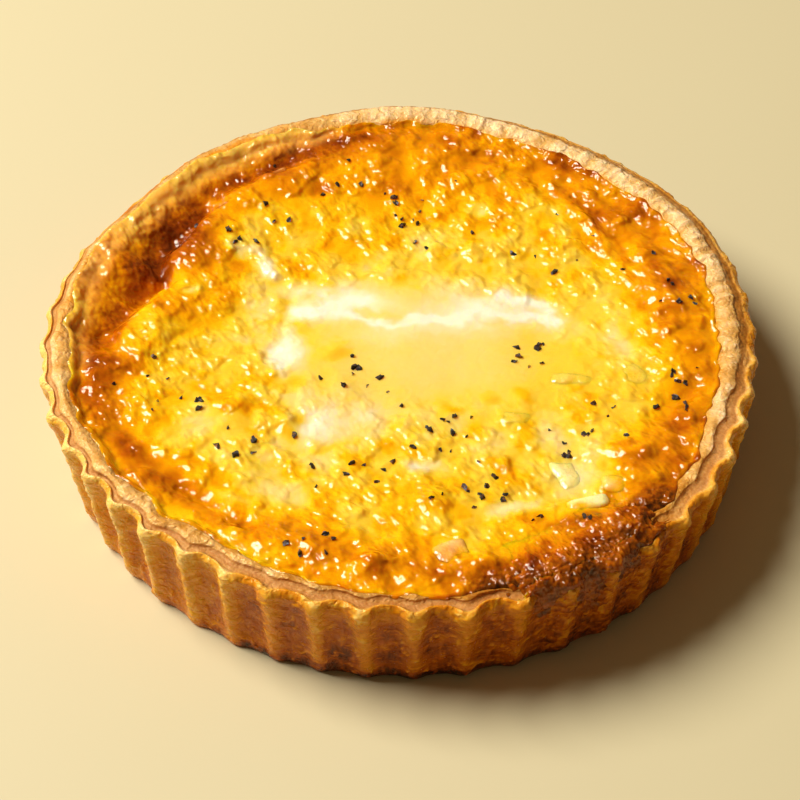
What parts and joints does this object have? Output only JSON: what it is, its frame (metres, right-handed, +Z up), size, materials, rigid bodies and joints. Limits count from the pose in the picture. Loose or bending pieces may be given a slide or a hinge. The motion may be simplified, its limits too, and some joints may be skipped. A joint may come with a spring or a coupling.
{
  "type": "quiche",
  "caption": "Round baked quiche in a fluted pastry case with a trimmed rim, filled with browned egg custard holding cheese, onion, ham and cracked pepper.",
  "frame": {"origin": "centre of the flat underside", "axes": "+Z up out of the custard; +Y points away from the side that shows the front of the wall; the custard has run over the rim at about 304 degrees anticlockwise from +X"},
  "size_m": [0.2005, 0.2008, 0.0353],
  "materials": {
    "pastry": "baked pastry, golden on the ridges and brown in the valleys, faintly greasy sheen",
    "custard": "baked egg custard, pale yellow to scorched brown, moist and glossy",
    "cheese": "softened cream-coloured cheese, smooth and moist",
    "onion": "cooked onion, translucent and glossy",
    "ham": "cooked ham, pink-brown and moist"
  },
  "bodies": {
    "root": {"crust": "pastry", "custard": "custard", "cheese_chunk_1": "cheese", "cheese_chunk_2": "cheese", "onion_piece_1": "onion", "onion_piece_2": "onion", "onion_piece_3": "onion", "onion_piece_4": "onion", "onion_piece_5": "onion", "ham_piece_1": "ham", "ham_piece_2": "ham"}
  },
  "joints": []
}
